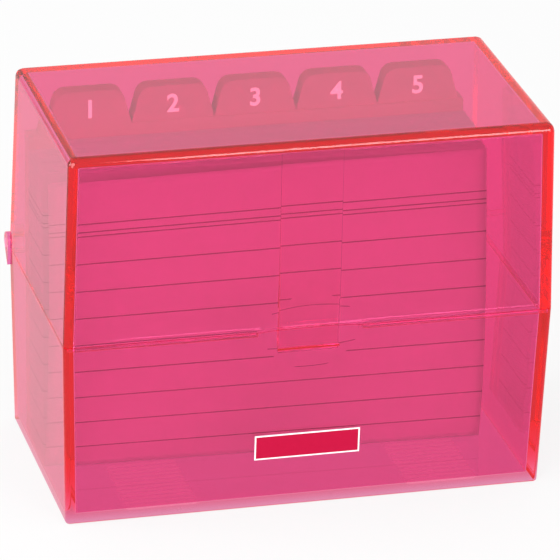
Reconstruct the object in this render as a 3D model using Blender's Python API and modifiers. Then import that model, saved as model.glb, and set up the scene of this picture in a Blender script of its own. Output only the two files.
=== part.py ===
"""Index card box: a drafted two-part moulding with a hinged lid, ruled cards and tabbed dividers.

Metres, +Z up. The origin is the middle of the flat bottom; -Y is the front.
"""

import math

import bmesh
import bpy
from mathutils import Matrix, Vector

MM = 0.001

# Cards
CARD_WIDTH = 105.0 * MM
CARD_HEIGHT = 74.0 * MM
CARD_THICKNESS = 0.13 * MM
CARD_GAP_LEFT = 0.0304 * MM
CARD_GAP_RIGHT = 0.0636 * MM
BUNDLE_COUNT = 24
CARDS_PER_BUNDLE = 4
SHEET_LEAN = math.radians(3.0)
SHEET_SHIFT = -2.5 * MM
STAND_GAP = 0.2 * MM

# Front card, which has sprung out of the stack: bowed and twisted
FRONT_CARD_THICKNESS = 0.14 * MM
FRONT_CARD_GAP = 0.1 * MM
FRONT_LEAN_RIGHT = math.radians(2.93)
FRONT_LEAN_LEFT = math.radians(-1.66)
FRONT_BOW = 2.67 * MM
FRONT_BOW_LOW = 1.06 * MM
FRONT_COLUMNS = 10
FRONT_ROWS = 12

# Tabbed dividers, in rows of tabs
DIVIDER_HEIGHT = 77.0 * MM
DIVIDER_THICKNESS = 0.16 * MM
DIVIDER_GAP = 0.04 * MM
TAB_ROWS = 5
TABS_PER_ROW = 5
TAB_MARGIN_LEFT = 2.5 * MM
TAB_MARGIN_RIGHT = 1.2 * MM
TAB_HEIGHT = 8.6 * MM
TAB_SLANT = 2.3 * MM
TAB_CORNER = 2.2 * MM
CORNER_SEGMENTS = 4

# Support plate that stands behind the dividers, with two ribbed feet
PLATE_MARGIN = 2.5 * MM
PLATE_HEIGHT = 70.0 * MM
PLATE_THICKNESS = 2.0 * MM
PLATE_GAP = 0.2 * MM
PLATE_CORNER = 6.0 * MM
FOOT_WIDTH = 15.0 * MM
FOOT_LENGTH = 5.2 * MM
FOOT_THICKNESS = 1.4 * MM
FOOT_RIB_COUNT = 2
FOOT_RIB_SETBACK = 1.2 * MM
FOOT_RIB_CLEARANCE = 0.2 * MM
GUSSET_WIDTH = 1.6 * MM
GUSSET_HEIGHT = 14.0 * MM

# Walls and free room
WALL = 2.6 * MM
FLOOR = 2.0 * MM
TOP_PLATE = 2.8 * MM
SIDE_ROOM = 3.92 * MM
FRONT_ROOM = 23.06 * MM
REAR_ROOM = 8.29 * MM
TOP_ROOM = 1.927 * MM
PARTING_HEIGHT = 45.9 * MM
PARTING_GAP = 0.2 * MM
TRAY_DRAFT = 1.135 * MM
LID_DRAFT = 1.075 * MM
LID_EDGE_RADIUS = 1.9 * MM
TRAY_EDGE_RADIUS = 0.7 * MM
CORNER_RADIUS = 1.3 * MM
INNER_RADIUS = 0.4 * MM
EDGE_SEGMENTS = 4

# Nested rim: the lid's lip drops inside a rebate of the tray's rim
RIM_SKIN = 1.05 * MM
LIP_GAP = 0.2 * MM
LIP_DEPTH = 1.1 * MM

# Hinge: an eye on each rear corner of the tray, and a knuckle with a pin on the lid
BARREL_RADIUS = 2.35 * MM
HINGE_BACKSET = 0.9 * MM
HINGE_RISE = 0.55 * MM
EYE_WIDTH = 3.05 * MM
EYE_PROUD = 0.5 * MM
KNUCKLE_WIDTH = 2.9 * MM
HINGE_SIDE_GAP = 0.3 * MM
BARREL_CLEARANCE = 0.2 * MM
BARREL_ROOT = 5.6 * MM
BARREL_ROOT_DEPTH = 0.5 * MM
PIN_RADIUS = 1.1 * MM
PIN_CLEARANCE = 0.1 * MM
PIN_REACH = 2.0 * MM
BARREL_SEGMENTS = 32

# Catch: a tongue inside the lid's front wall, with a bead that snaps into the tray
TONGUE_WIDTH = 14.8 * MM
TONGUE_THICKNESS = 1.05 * MM
TONGUE_REACH = 6.75 * MM
TONGUE_GAP = 0.15 * MM
TONGUE_STEPS = 4
BEAD_SETBACK = 1.1 * MM
BEAD_HALF_HEIGHT = 0.5 * MM
BEAD_REACH = 0.2 * MM
BEAD_CLEARANCE = 0.2 * MM

# Thumb dish across the parting line, and the rim's plain stretch behind it
DISH_RADIUS = 11.5 * MM
DISH_DEPTH = 1.0 * MM
DISH_DROP = 0.75 * MM
DISH_MARGIN = 1.2 * MM
DISH_RINGS = 6
DISH_SEGMENTS = 48

# Floor grooves that hold the support plate's feet
ZONE_WIDTH = 17.0 * MM
ZONE_INSET = 18.2 * MM
GROOVE_PITCH = 2.0 * MM
GROOVE_WIDTH = 1.2 * MM
GROOVE_DEPTH = 0.6 * MM

# Bare label on the tray's front
LABEL_WIDTH = 25.6 * MM
LABEL_HEIGHT = 6.3 * MM
LABEL_THICKNESS = 0.15 * MM
LABEL_GAP = 0.1 * MM
LABEL_BOTTOM = 12.74 * MM

# How far a cutter runs past the face that it cuts, and the crease that stays sharp when shaded
OVERRUN = 1.0 * MM
CREASE = math.radians(30.0)

# Stack, from the support plate forward
CARD_COUNT = BUNDLE_COUNT * CARDS_PER_BUNDLE
CARD_PITCH_LEFT = CARD_THICKNESS + CARD_GAP_LEFT
CARD_PITCH_RIGHT = CARD_THICKNESS + CARD_GAP_RIGHT
DIVIDER_PITCH = DIVIDER_THICKNESS + DIVIDER_GAP
REGISTER_DEPTH = TAB_ROWS * TABS_PER_ROW * DIVIDER_PITCH
STACK_LEFT = CARD_COUNT * CARD_PITCH_LEFT
STACK_RIGHT = CARD_COUNT * CARD_PITCH_RIGHT
STACK_DEEPEST = max(STACK_LEFT, STACK_RIGHT)
FRONT_STEP = FRONT_CARD_GAP + FRONT_CARD_THICKNESS
TAB_PITCH = (CARD_WIDTH - TAB_MARGIN_LEFT - TAB_MARGIN_RIGHT) / TABS_PER_ROW
PLATE_HALF_WIDTH = CARD_WIDTH / 2 - PLATE_MARGIN
ZONE_MIDDLE = CARD_WIDTH / 2 - ZONE_INSET
GROOVE_FLANK = GROOVE_DEPTH / (GROOVE_WIDTH / 2)

# Outside of the box at the parting line
CONTENTS_DEPTH = FRONT_STEP + STACK_DEEPEST + REGISTER_DEPTH + PLATE_GAP + PLATE_THICKNESS
HALF_WIDTH = CARD_WIDTH / 2 + SIDE_ROOM + WALL
HALF_DEPTH = (FRONT_ROOM + CONTENTS_DEPTH + REAR_ROOM) / 2 + WALL
SHEET_FOOT = FLOOR + STAND_GAP
TAB_TOP = SHEET_FOOT + (DIVIDER_HEIGHT + TAB_HEIGHT) * math.cos(SHEET_LEAN)
BOX_HEIGHT = TAB_TOP + TOP_ROOM + TOP_PLATE
RIM_TOP = PARTING_HEIGHT - PARTING_GAP / 2
LID_FOOT = PARTING_HEIGHT + PARTING_GAP / 2
LIP_FOOT = RIM_TOP - LIP_DEPTH
REBATE_FLOOR = LIP_FOOT - LIP_GAP

# Places of what stands in the box
PLATE_FRONT = HALF_DEPTH - WALL - REAR_ROOM - PLATE_THICKNESS
REGISTER_FRONT = PLATE_FRONT - PLATE_GAP - REGISTER_DEPTH
SHEET_LEFT = SHEET_SHIFT - CARD_WIDTH / 2
SHEET_RIGHT = SHEET_SHIFT + CARD_WIDTH / 2

# Hinge axis and the places along it
AXIS_Y = HALF_DEPTH + HINGE_BACKSET
AXIS_Z = PARTING_HEIGHT + HINGE_RISE
EYE_OUTER = HALF_WIDTH + EYE_PROUD
EYE_INNER = EYE_OUTER - EYE_WIDTH
KNUCKLE_OUTER = EYE_INNER - HINGE_SIDE_GAP
KNUCKLE_INNER = KNUCKLE_OUTER - KNUCKLE_WIDTH
EYE_SPLIT = EYE_INNER - HINGE_SIDE_GAP / 2

PLASTIC_COLOUR = (0.86, 0.09, 0.22, 1.0)
CARD_COLOUR = (0.93, 0.92, 0.90, 1.0)
DIVIDER_COLOUR = (0.90, 0.88, 0.84, 1.0)
LABEL_COLOUR = (0.78, 0.02, 0.09, 1.0)

for old in list(bpy.data.objects):
    bpy.data.objects.remove(old)

PARTS = bpy.data.collections.new("index_card_box")
CUTTERS = bpy.data.collections.new("index_card_box_cutters")
bpy.context.scene.collection.children.link(PARTS)
bpy.context.scene.collection.children.link(CUTTERS)


def make_material(name, colour, roughness, transmission=0.0):
    material = bpy.data.materials.new(name)
    material.use_nodes = True
    shader = material.node_tree.nodes["Principled BSDF"]
    shader.inputs["Base Color"].default_value = colour
    shader.inputs["Roughness"].default_value = roughness
    shader.inputs["Metallic"].default_value = 0.0
    shader.inputs["Transmission Weight"].default_value = transmission
    return material


def add_object(name, bm, material):
    """A closed mesh as a named part."""
    bmesh.ops.recalc_face_normals(bm, faces=bm.faces)
    mesh = bpy.data.meshes.new(name)
    bm.to_mesh(mesh)
    bm.free()
    mesh.materials.append(material)
    part = bpy.data.objects.new(name, mesh)
    PARTS.objects.link(part)
    return part


def add_tool(name, bm):
    """A closed mesh that only cuts or joins another."""
    bmesh.ops.recalc_face_normals(bm, faces=bm.faces)
    mesh = bpy.data.meshes.new(name)
    bm.to_mesh(mesh)
    bm.free()
    tool = bpy.data.objects.new(name, mesh)
    CUTTERS.objects.link(tool)
    tool.hide_render = True
    tool.display_type = "WIRE"
    return tool


def combine(part, tool, operation):
    modifier = part.modifiers.new(tool.name, "BOOLEAN")
    modifier.object = tool
    modifier.operation = operation
    modifier.solver = "EXACT"


def set_origin(part, point):
    """Moves the origin to a point, with the mesh left where it is."""
    part.data.transform(Matrix.Translation(-Vector(point)))
    part.location = point


def shade(part):
    part.data.shade_smooth()
    part.data.set_sharp_from_angle(angle=CREASE)


def add_prism(bm, corners, travel):
    """A flat outline swept along a straight line."""
    outline = bm.faces.new([bm.verts.new(corner) for corner in corners])
    swept = bmesh.ops.extrude_face_region(bm, geom=[outline])
    moved = [item for item in swept["geom"] if isinstance(item, bmesh.types.BMVert)]
    bmesh.ops.translate(bm, vec=travel, verts=moved)
    return outline


def add_cross_prism(bm, outline, x_low, x_high):
    """An outline given in (y, z), swept along X."""
    corners = [(x_low, y, z) for y, z in outline]
    add_prism(bm, corners, Vector((x_high - x_low, 0, 0)))


def add_box(bm, low, high):
    outline = [(low[1], low[2]), (high[1], low[2]), (high[1], high[2]), (low[1], high[2])]
    add_cross_prism(bm, outline, low[0], high[0])


def add_rod(bm, radius, x_low, x_high):
    """A rod along the hinge axis."""
    centre = Vector(((x_low + x_high) / 2, AXIS_Y, AXIS_Z))
    placement = Matrix.Translation(centre) @ Matrix.Rotation(math.pi / 2, 4, "Y")
    bmesh.ops.create_cone(
        bm, cap_ends=True, segments=BARREL_SEGMENTS, radius1=radius, radius2=radius,
        depth=abs(x_high - x_low), matrix=placement)


def tray_inset(z):
    """How far the tray's drafted wall has come in at a height."""
    return TRAY_DRAFT * (PARTING_HEIGHT - z) / PARTING_HEIGHT


def lid_inset(z):
    """How far the lid's drafted wall has come in at a height."""
    return LID_DRAFT * (z - PARTING_HEIGHT) / (BOX_HEIGHT - PARTING_HEIGHT)


def drafted_mesh(z_low, z_high, low_inset, high_inset, closed_end, end_radius, side_radius):
    """A tapered block, with bevel weights on its four upright edges and on its closed end."""
    bm = bmesh.new()
    bmesh.ops.create_cube(bm, size=2.0)
    weights = bm.edges.layers.float.new("bevel_weight_edge")
    widest = max(end_radius, side_radius)
    for edge in bm.edges:
        heights = [vert.co.z for vert in edge.verts]
        if heights[0] * heights[1] < 0:
            edge[weights] = side_radius / widest
        elif heights[0] * closed_end > 0:
            edge[weights] = end_radius / widest
    for vert in bm.verts:
        upper = vert.co.z > 0
        inset = high_inset if upper else low_inset
        vert.co.x *= HALF_WIDTH - inset
        vert.co.y *= HALF_DEPTH - inset
        vert.co.z = z_high if upper else z_low
    return bm, widest


def round_edges(part, width):
    bevel = part.modifiers.new("rounded_edges", "BEVEL")
    bevel.limit_method = "WEIGHT"
    bevel.width = width
    bevel.segments = EDGE_SEGMENTS


def make_cavity(name, z_low, z_high, low_inset, high_inset, closed_end):
    bm, widest = drafted_mesh(
        z_low, z_high, low_inset + WALL, high_inset + WALL, closed_end, INNER_RADIUS, INNER_RADIUS)
    cavity = add_tool(name, bm)
    round_edges(cavity, widest)
    return cavity


def rim_block(bm, inset, z_low, z_high):
    """A block that fills the rim's outline, drawn in all round."""
    add_box(bm, (inset - HALF_WIDTH, inset - HALF_DEPTH, z_low), (HALF_WIDTH - inset, HALF_DEPTH - inset, z_high))


def front_stretch(bm, half_width, z_low, z_high):
    """A block over the plain stretch of the rim behind the thumb dish."""
    add_box(bm, (-half_width, -HALF_DEPTH - OVERRUN, z_low), (half_width, -HALF_DEPTH + WALL + OVERRUN, z_high))


def dish_cutter(name, draft_angle):
    """A shallow ball-shaped cap, square to a drafted front face, turned about its own axis."""
    sphere = (DISH_RADIUS ** 2 + DISH_DEPTH ** 2) / (2 * DISH_DEPTH)
    widest_angle = math.asin(DISH_RADIUS / sphere)
    profile = [(0, OVERRUN), (DISH_RADIUS, OVERRUN)]
    for ring in range(DISH_RINGS + 1):
        angle = widest_angle * (1 - ring / DISH_RINGS)
        profile.append((sphere * math.sin(angle), sphere - DISH_DEPTH - sphere * math.cos(angle)))
    bm = bmesh.new()
    points = [bm.verts.new((radius, 0, height)) for radius, height in profile]
    for start, end in zip(points, points[1:]):
        bm.edges.new((start, end))
    mesh = bpy.data.meshes.new(name)
    bm.to_mesh(mesh)
    bm.free()
    cutter = bpy.data.objects.new(name, mesh)
    CUTTERS.objects.link(cutter)
    cutter.hide_render = True
    cutter.display_type = "WIRE"
    turn = cutter.modifiers.new("turned", "SCREW")
    turn.steps = DISH_SEGMENTS
    turn.render_steps = DISH_SEGMENTS
    turn.use_merge_vertices = True
    turn.merge_threshold = MM / 1000
    turn.use_normal_calculate = True
    inset = math.tan(abs(draft_angle)) * DISH_DROP
    cutter.location = (0, inset - HALF_DEPTH, PARTING_HEIGHT - DISH_DROP)
    cutter.rotation_euler = (math.pi / 2 + draft_angle, 0, 0)
    return cutter


def barrel_outline(root_direction):
    """A round barrel that runs out to a root on the back wall, up or down, in (y, z)."""
    root_y = HALF_DEPTH - BARREL_ROOT_DEPTH - AXIS_Y
    root_z = root_direction * BARREL_ROOT
    reach = math.hypot(root_y, root_z)
    toward = math.atan2(root_z, root_y)
    spread = math.acos(BARREL_RADIUS / reach)
    outline = [(AXIS_Y + root_y, AXIS_Z + root_z)]
    sweep = 2 * (math.pi - spread)
    for step in range(BARREL_SEGMENTS + 1):
        angle = toward + spread + sweep * step / BARREL_SEGMENTS
        outline.append((AXIS_Y + BARREL_RADIUS * math.cos(angle), AXIS_Z + BARREL_RADIUS * math.sin(angle)))
    return outline


def tongue_face(z):
    """The tongue's outer face lies on the arc that it swings through, just clear of the rim."""
    sweep = AXIS_Y + HALF_DEPTH - WALL - TONGUE_GAP
    return AXIS_Y - math.sqrt(sweep ** 2 - (AXIS_Z - z) ** 2)


def inner_front(z):
    """The tray's inner front face at a height."""
    return WALL + tray_inset(z) - HALF_DEPTH


TONGUE_FOOT = PARTING_HEIGHT - TONGUE_REACH
TONGUE_BACK = tongue_face(TONGUE_FOOT) + TONGUE_THICKNESS
BEAD_Z = TONGUE_FOOT + BEAD_SETBACK
BEAD_TIP = inner_front(BEAD_Z) - BEAD_REACH


def tongue_outline():
    lowest = [(TONGUE_BACK, TONGUE_FOOT)]
    arc = []
    for step in range(TONGUE_STEPS + 1):
        z = TONGUE_FOOT + (RIM_TOP - TONGUE_FOOT) * step / TONGUE_STEPS
        arc.append((tongue_face(z), z))
    buried = -HALF_DEPTH + WALL / 2
    top = BOX_HEIGHT - TOP_PLATE / 2
    joined = [(tongue_face(RIM_TOP), LID_FOOT + PARTING_GAP), (buried, LID_FOOT + PARTING_GAP + WALL / 2)]
    upper = [(buried + lid_inset(top), top), (TONGUE_BACK, top)]
    return lowest + arc + joined + upper


def bead_outline(clearance):
    """The bead's section, or with a clearance the groove's."""
    half = BEAD_HALF_HEIGHT + clearance
    inside = tongue_face(BEAD_Z) + TONGUE_THICKNESS / 2
    return [(inside, BEAD_Z - half), (inside, BEAD_Z + half), (BEAD_TIP - clearance, BEAD_Z)]


def rib_y(index):
    """Where a rib of the plate's feet stands, and, past the feet, where the grooves go on."""
    return PLATE_FRONT + FOOT_RIB_SETBACK + index * GROOVE_PITCH


def groove_indices():
    """The grooves run on in front of and behind the feet, as far as the flat floor goes."""
    reach = HALF_DEPTH - tray_inset(FLOOR) - WALL - INNER_RADIUS - GROOVE_WIDTH / 2
    first = math.ceil((-reach - rib_y(0)) / GROOVE_PITCH)
    last = math.floor((reach - rib_y(0)) / GROOVE_PITCH)
    return range(first, last + 1)


def groove_outline(y):
    """A groove's section: a V whose cutter turns upright above the floor, clear of its neighbours."""
    shoulder = (GROOVE_PITCH + GROOVE_WIDTH) / 4
    valley = FLOOR - GROOVE_DEPTH
    turn = valley + shoulder * GROOVE_FLANK
    above = FLOOR + OVERRUN
    return [(y - shoulder, above), (y - shoulder, turn), (y, valley), (y + shoulder, turn), (y + shoulder, above)]


def make_grooves():
    """V grooves across both zones of the floor."""
    bm = bmesh.new()
    for side in (-1, 1):
        x_low = side * ZONE_MIDDLE - ZONE_WIDTH / 2
        for index in groove_indices():
            add_cross_prism(bm, groove_outline(rib_y(index)), x_low, x_low + ZONE_WIDTH)
    return add_tool("floor_grooves", bm)


def make_tray(material):
    """Lower half: drafted, with a rebated rim, hinge eyes, half a thumb dish and a grooved floor."""
    bm, widest = drafted_mesh(
        0, RIM_TOP, tray_inset(0), tray_inset(RIM_TOP), -1, TRAY_EDGE_RADIUS, CORNER_RADIUS)
    tray = add_object("base_tray", bm, material)
    round_edges(tray, widest)
    above = RIM_TOP + OVERRUN
    cavity = make_cavity("tray_cavity", FLOOR, above, tray_inset(FLOOR), tray_inset(above), -1)
    combine(tray, cavity, "DIFFERENCE")

    rebate = bmesh.new()
    rim_block(rebate, RIM_SKIN, REBATE_FLOOR, above)
    rebate_tool = add_tool("rim_rebate", rebate)
    plain = bmesh.new()
    front_stretch(plain, DISH_RADIUS + DISH_MARGIN, REBATE_FLOOR - OVERRUN, above + OVERRUN)
    combine(rebate_tool, add_tool("rim_plain_stretch", plain), "DIFFERENCE")
    combine(tray, rebate_tool, "DIFFERENCE")

    eyes = bmesh.new()
    bores = bmesh.new()
    notches = bmesh.new()
    for side in (-1, 1):
        add_cross_prism(eyes, barrel_outline(-1), side * EYE_INNER, side * EYE_OUTER)
        add_rod(bores, PIN_RADIUS + PIN_CLEARANCE, side * (EYE_INNER - OVERRUN),
                side * (KNUCKLE_OUTER + PIN_REACH + 2 * HINGE_SIDE_GAP))
        add_rod(notches, BARREL_RADIUS + BARREL_CLEARANCE, side * (KNUCKLE_INNER - HINGE_SIDE_GAP), side * EYE_SPLIT)
    combine(tray, add_tool("hinge_eyes", eyes), "UNION")
    combine(tray, add_tool("knuckle_notches", notches), "DIFFERENCE")
    combine(tray, add_tool("eye_bores", bores), "DIFFERENCE")

    combine(tray, dish_cutter("tray_dish", -math.atan(TRAY_DRAFT / PARTING_HEIGHT)), "DIFFERENCE")
    groove = bmesh.new()
    half = TONGUE_WIDTH / 2 + BEAD_CLEARANCE
    add_cross_prism(groove, bead_outline(BEAD_CLEARANCE), -half, half)
    combine(tray, add_tool("bead_groove", groove), "DIFFERENCE")
    combine(tray, make_grooves(), "DIFFERENCE")
    shade(tray)
    return tray


def make_lid(material):
    """Upper half: drafted, with a nested lip, knuckles with pins, the other half of the dish and the catch."""
    bm, widest = drafted_mesh(
        LID_FOOT, BOX_HEIGHT, lid_inset(LID_FOOT), lid_inset(BOX_HEIGHT), 1, LID_EDGE_RADIUS, CORNER_RADIUS)
    lid = add_object("lid", bm, material)
    round_edges(lid, widest)

    lip = bmesh.new()
    rim_block(lip, RIM_SKIN + LIP_GAP, LIP_FOOT, LID_FOOT + WALL)
    lip_tool = add_tool("lid_lip", lip)
    gap = bmesh.new()
    front_stretch(gap, DISH_RADIUS + DISH_MARGIN + LIP_GAP, LIP_FOOT - OVERRUN, LID_FOOT)
    combine(lip_tool, add_tool("lip_opening", gap), "DIFFERENCE")
    combine(lid, lip_tool, "UNION")

    below = LIP_FOOT - OVERRUN
    ceiling = BOX_HEIGHT - TOP_PLATE
    cavity = make_cavity("lid_cavity", below, ceiling, lid_inset(below), lid_inset(ceiling), 1)
    combine(lid, cavity, "DIFFERENCE")

    tongue = bmesh.new()
    add_cross_prism(tongue, tongue_outline(), -TONGUE_WIDTH / 2, TONGUE_WIDTH / 2)
    combine(lid, add_tool("catch_tongue", tongue), "UNION")
    bead = bmesh.new()
    add_cross_prism(bead, bead_outline(0), PIN_CLEARANCE - TONGUE_WIDTH / 2, TONGUE_WIDTH / 2 - PIN_CLEARANCE)
    combine(lid, add_tool("catch_bead", bead), "UNION")

    knuckles = bmesh.new()
    pins = bmesh.new()
    notches = bmesh.new()
    for side in (-1, 1):
        add_cross_prism(knuckles, barrel_outline(1), side * KNUCKLE_INNER, side * KNUCKLE_OUTER)
        add_rod(pins, PIN_RADIUS, side * (KNUCKLE_INNER + HINGE_SIDE_GAP), side * (EYE_INNER + PIN_REACH))
        add_rod(notches, BARREL_RADIUS + BARREL_CLEARANCE, side * EYE_SPLIT, side * (EYE_OUTER + OVERRUN))
    combine(lid, add_tool("eye_notches", notches), "DIFFERENCE")
    combine(lid, add_tool("hinge_knuckles", knuckles), "UNION")
    combine(lid, add_tool("hinge_pins", pins), "UNION")
    combine(lid, dish_cutter("lid_dish", math.atan(LID_DRAFT / (BOX_HEIGHT - PARTING_HEIGHT))), "DIFFERENCE")
    set_origin(lid, (0, AXIS_Y, AXIS_Z))
    shade(lid)
    return lid


def make_label(material):
    """A thin bare label, laid along the drafted front face."""
    angle = math.atan(TRAY_DRAFT / PARTING_HEIGHT)
    bm = bmesh.new()
    add_box(bm, (-LABEL_WIDTH / 2, -LABEL_THICKNESS, 0), (LABEL_WIDTH / 2, 0, LABEL_HEIGHT))
    label = add_object("front_label", bm, material)
    label.location = (0, tray_inset(LABEL_BOTTOM) - HALF_DEPTH - LABEL_GAP, LABEL_BOTTOM)
    label.rotation_euler = (angle, 0, 0)
    return label


def make_support_plate(material):
    """A leaning plate on two feet, whose ribs stand in the floor's grooves."""
    slope = math.tan(SHEET_LEAN)
    top = SHEET_FOOT + PLATE_HEIGHT
    rear = PLATE_FRONT + PLATE_THICKNESS
    bm = bmesh.new()
    outline = [
        (PLATE_FRONT, SHEET_FOOT), (rear, SHEET_FOOT),
        (rear + slope * PLATE_HEIGHT, top), (PLATE_FRONT + slope * PLATE_HEIGHT, top)]
    add_cross_prism(bm, outline, -PLATE_HALF_WIDTH, PLATE_HALF_WIDTH)
    upper = [
        edge for edge in bm.edges
        if all(abs(vert.co.z - top) < OVERRUN for vert in edge.verts)
        and abs(edge.verts[0].co.y - edge.verts[1].co.y) > PLATE_THICKNESS / 2]
    bmesh.ops.bevel(bm, geom=upper, offset=PLATE_CORNER, segments=EDGE_SEGMENTS, profile=0.5, affect="EDGES")
    plate = add_object("support_plate", bm, material)

    feet = bmesh.new()
    webs = bmesh.new()
    ribs = bmesh.new()
    rib_half = GROOVE_WIDTH / 2 * (1 - FOOT_RIB_CLEARANCE * math.sqrt(2) / GROOVE_DEPTH)
    buried = FOOT_THICKNESS / 2
    for side in (-1, 1):
        middle = side * ZONE_MIDDLE
        add_box(feet, (middle - FOOT_WIDTH / 2, PLATE_FRONT + PLATE_THICKNESS / 4, SHEET_FOOT),
                (middle + FOOT_WIDTH / 2, PLATE_FRONT + FOOT_LENGTH, SHEET_FOOT + FOOT_THICKNESS))
        web = [
            (PLATE_FRONT + PLATE_THICKNESS / 2, SHEET_FOOT + buried),
            (PLATE_FRONT + FOOT_LENGTH - buried, SHEET_FOOT + buried),
            (PLATE_FRONT + FOOT_LENGTH - buried, SHEET_FOOT + FOOT_THICKNESS),
            (PLATE_FRONT + PLATE_THICKNESS / 2 + slope * GUSSET_HEIGHT, SHEET_FOOT + GUSSET_HEIGHT)]
        add_cross_prism(webs, web, middle - GUSSET_WIDTH / 2, middle + GUSSET_WIDTH / 2)
        for index in range(FOOT_RIB_COUNT):
            y = rib_y(index)
            root = rib_half + (STAND_GAP + buried) / GROOVE_FLANK
            tip = FLOOR - rib_half * GROOVE_FLANK
            rib = [(y - root, SHEET_FOOT + buried), (y, tip), (y + root, SHEET_FOOT + buried)]
            add_cross_prism(ribs, rib, middle - FOOT_WIDTH / 2 + buried, middle + FOOT_WIDTH / 2 - buried)
    combine(plate, add_tool("plate_feet", feet), "UNION")
    combine(plate, add_tool("plate_webs", webs), "UNION")
    combine(plate, add_tool("foot_ribs", ribs), "UNION")
    set_origin(plate, (0, PLATE_FRONT, SHEET_FOOT))
    return plate


def sheet_placement(y_left, y_right):
    """A sheet's own frame: x along its bottom front edge from the left end, z up its face."""
    heading = math.atan2(y_right - y_left, CARD_WIDTH)
    start = Matrix.Translation(Vector((SHEET_LEFT, y_left, SHEET_FOOT)))
    return start @ Matrix.Rotation(heading, 4, "Z") @ Matrix.Rotation(-SHEET_LEAN, 4, "X")


def card_front(index):
    """The bottom front edge of a card, at the left and at the right, counted from the front."""
    behind = CARD_COUNT - index
    return REGISTER_FRONT - behind * CARD_PITCH_LEFT, REGISTER_FRONT - behind * CARD_PITCH_RIGHT


def make_card_bundle(number, material):
    """Neighbouring flat cards as one wedge, because the stack fans a little wider at the right."""
    first = (number - 1) * CARDS_PER_BUNDLE
    front = sheet_placement(*card_front(first))
    rear = sheet_placement(*card_front(first + CARDS_PER_BUNDLE - 1))
    bm = bmesh.new()
    bmesh.ops.create_cube(bm, size=1)
    for vert in bm.verts:
        x = CARD_WIDTH * (vert.co.x + 0.5)
        z = CARD_HEIGHT * (vert.co.z + 0.5)
        behind = vert.co.y > 0
        vert.co = rear @ Vector((x, CARD_THICKNESS, z)) if behind else front @ Vector((x, 0, z))
    bundle = add_object(f"card_bundle_{number:02d}", bm, material)
    set_origin(bundle, front.translation)
    return bundle


def front_card_point(across, up):
    """A point of the front card; across runs from its right edge, up from its foot, both 0 to 1."""
    left, right = card_front(0)
    foot = right + (left - right) * across - FRONT_STEP
    lean = FRONT_LEAN_RIGHT + (FRONT_LEAN_LEFT - FRONT_LEAN_RIGHT) * across
    bulge = 4 * up * (1 - up)
    bow = bulge * (FRONT_BOW + FRONT_BOW_LOW * (1 - 2 * up))
    height = CARD_HEIGHT * up
    heading = math.atan2(right - left, CARD_WIDTH)
    x = SHEET_RIGHT - CARD_WIDTH * math.cos(heading) * across
    return Vector((x, foot + height * math.sin(lean) - bow, SHEET_FOOT + height * math.cos(lean)))


def make_front_card(material):
    """The bowed and twisted front card, an open sheet with Solidify."""
    bm = bmesh.new()
    bmesh.ops.create_grid(bm, x_segments=FRONT_COLUMNS, y_segments=FRONT_ROWS, size=0.5)
    for vert in bm.verts:
        vert.co = front_card_point(0.5 - vert.co.x, 0.5 + vert.co.y)
    mesh = bpy.data.meshes.new("front_card")
    bm.to_mesh(mesh)
    bm.free()
    mesh.materials.append(material)
    card = bpy.data.objects.new("front_card", mesh)
    PARTS.objects.link(card)
    sheet = card.modifiers.new("sheet", "SOLIDIFY")
    sheet.thickness = FRONT_CARD_THICKNESS
    sheet.offset = -1
    sheet.use_even_offset = True
    set_origin(card, front_card_point(1, 0))
    mesh.shade_smooth()
    mesh.set_sharp_from_angle(angle=CREASE)
    return card


def make_divider(number, material):
    """A flat sheet with one tab; the tabs step across, row behind row."""
    place = (number - 1) % TABS_PER_ROW
    tab_middle = TAB_MARGIN_LEFT + (place + 0.5) * TAB_PITCH
    base = TAB_PITCH / 2
    crown = base - TAB_SLANT
    tall = DIVIDER_HEIGHT + TAB_HEIGHT
    outline = [
        (0, 0), (CARD_WIDTH, 0), (CARD_WIDTH, DIVIDER_HEIGHT), (tab_middle + base, DIVIDER_HEIGHT),
        (tab_middle + crown, tall), (tab_middle - crown, tall),
        (tab_middle - base, DIVIDER_HEIGHT), (0, DIVIDER_HEIGHT)]
    bm = bmesh.new()
    add_prism(bm, [(x, 0, z) for x, z in outline], Vector((0, DIVIDER_THICKNESS, 0)))
    corners = [
        edge for edge in bm.edges
        if all(vert.co.z > tall - OVERRUN for vert in edge.verts)
        and abs(edge.verts[0].co.x - edge.verts[1].co.x) < TAB_SLANT / 2]
    bmesh.ops.bevel(bm, geom=corners, offset=TAB_CORNER, segments=CORNER_SEGMENTS, profile=0.5, affect="EDGES")
    foot = REGISTER_FRONT + (number - 1) * DIVIDER_PITCH
    bm.transform(sheet_placement(foot, foot))
    divider = add_object(f"divider_{number:02d}", bm, material)
    set_origin(divider, (SHEET_LEFT, foot, SHEET_FOOT))
    return divider


plastic = make_material("tinted_plastic", PLASTIC_COLOUR, 0.1, 0.85)
paper = make_material("card_paper", CARD_COLOUR, 0.75)
board = make_material("divider_board", DIVIDER_COLOUR, 0.7)
film = make_material("label_film", LABEL_COLOUR, 0.35)

make_tray(plastic)
make_lid(plastic)
make_label(film)
make_support_plate(plastic)
make_front_card(paper)
for bundle_number in range(1, BUNDLE_COUNT + 1):
    make_card_bundle(bundle_number, paper)
for divider_number in range(1, TAB_ROWS * TABS_PER_ROW + 1):
    make_divider(divider_number, board)
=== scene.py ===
import math
import random

import bmesh
import bpy
from mathutils import Matrix, Vector


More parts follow.
